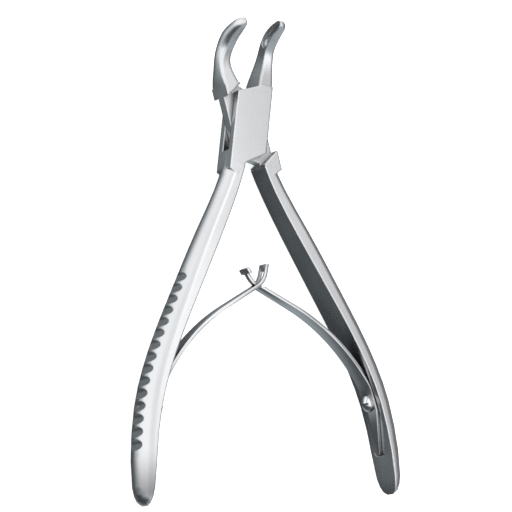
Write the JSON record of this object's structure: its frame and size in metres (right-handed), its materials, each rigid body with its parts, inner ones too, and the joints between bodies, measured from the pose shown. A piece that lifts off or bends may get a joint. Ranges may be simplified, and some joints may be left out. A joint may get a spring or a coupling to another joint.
{
  "type": "bone rongeur",
  "caption": "Stainless bone rongeur with box joint, curved cupped jaws, grooved handles and two hooked leaf springs.",
  "frame": {"origin": "where the pivot's axis meets the back face of the box, the face the tool lies on", "axes": "+Z along the pivot's axis, out of the front face, the way the jaws curve; +Y towards the jaws; +X towards the jaw of the box half"},
  "size_m": [0.0868, 0.1351, 0.0189],
  "materials": {
    "satin_steel": "satin",
    "spring_steel": "satin",
    "screw_steel": "polished"
  },
  "bodies": {
    "left_side": {"box_half": "satin_steel", "pivot_pin": "satin_steel", "left_spring_screw": "screw_steel"},
    "right_side": {"tongue_half": "satin_steel", "right_spring_screw": "screw_steel"},
    "left_leaf": {"slotted_leaf_spring": "spring_steel"},
    "right_leaf": {"tongued_leaf_spring": "spring_steel"}
  },
  "joints": [
    {"name": "pivot", "type": "hinge", "parent": "left_side", "child": "right_side", "pos_m": [0, 0, 0], "axis": [0, 0, 1], "range_deg": [-22.8, 2], "stiffness_Nm_per_rad": 2},
    {"name": "left_leaf_flex", "type": "hinge", "parent": "left_side", "child": "left_leaf", "pos_m": [-0.0272, -0.0642, 0.0038], "axis": [0, 0, 1], "range_deg": [-1.9, 20.2], "deforming": ["slotted_leaf_spring"]},
    {"name": "right_leaf_flex", "type": "hinge", "parent": "right_side", "child": "right_leaf", "pos_m": [0.0272, -0.0642, 0.0038], "axis": [0, 0, 1], "range_deg": [-20.2, 1.9], "deforming": ["tongued_leaf_spring"]}
  ],
  "couplings": [
    {"joint": "left_leaf_flex", "follows": "pivot", "ratio": -0.88},
    {"joint": "right_leaf_flex", "follows": "pivot", "ratio": 0.88}
  ]
}
